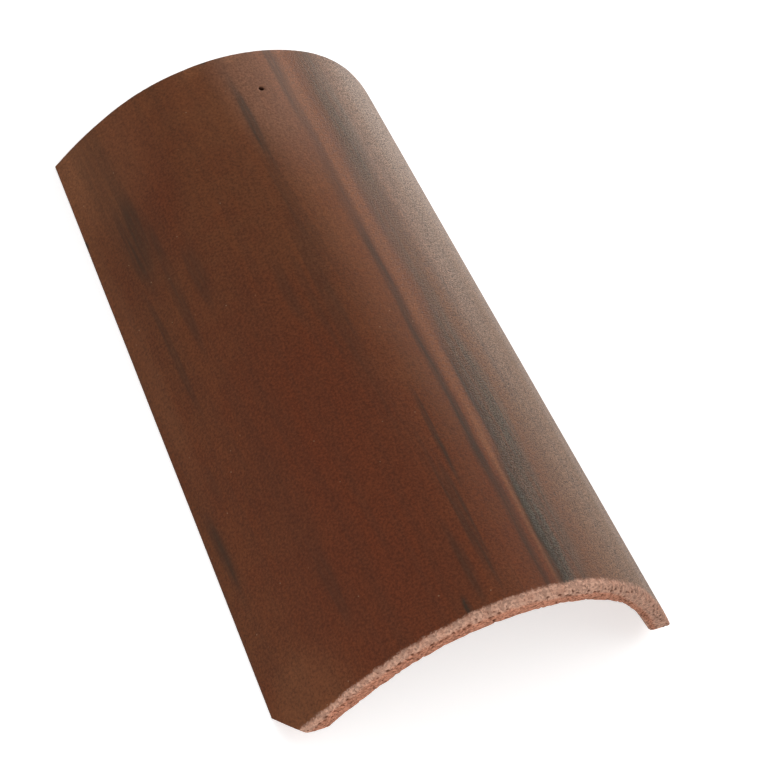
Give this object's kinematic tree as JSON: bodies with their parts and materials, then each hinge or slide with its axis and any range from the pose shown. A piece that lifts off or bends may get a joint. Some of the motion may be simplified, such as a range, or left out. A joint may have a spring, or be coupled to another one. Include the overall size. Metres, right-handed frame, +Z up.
{
  "type": "ridge tile",
  "caption": "Tapered half-round ridge tile with a wide rounded nose, clipped nose corners and a nail hole near the narrow head.",
  "frame": {"origin": "middle of the footprint, at floor level", "axes": "+Z up; +Y along the tile from the wide nose to the narrow head; the tile is symmetric across X"},
  "size_m": [0.2544, 0.42, 0.1087],
  "materials": {
    "coated_concrete": "matte"
  },
  "bodies": {
    "root": {"ridge_tile": "coated_concrete"}
  },
  "joints": []
}
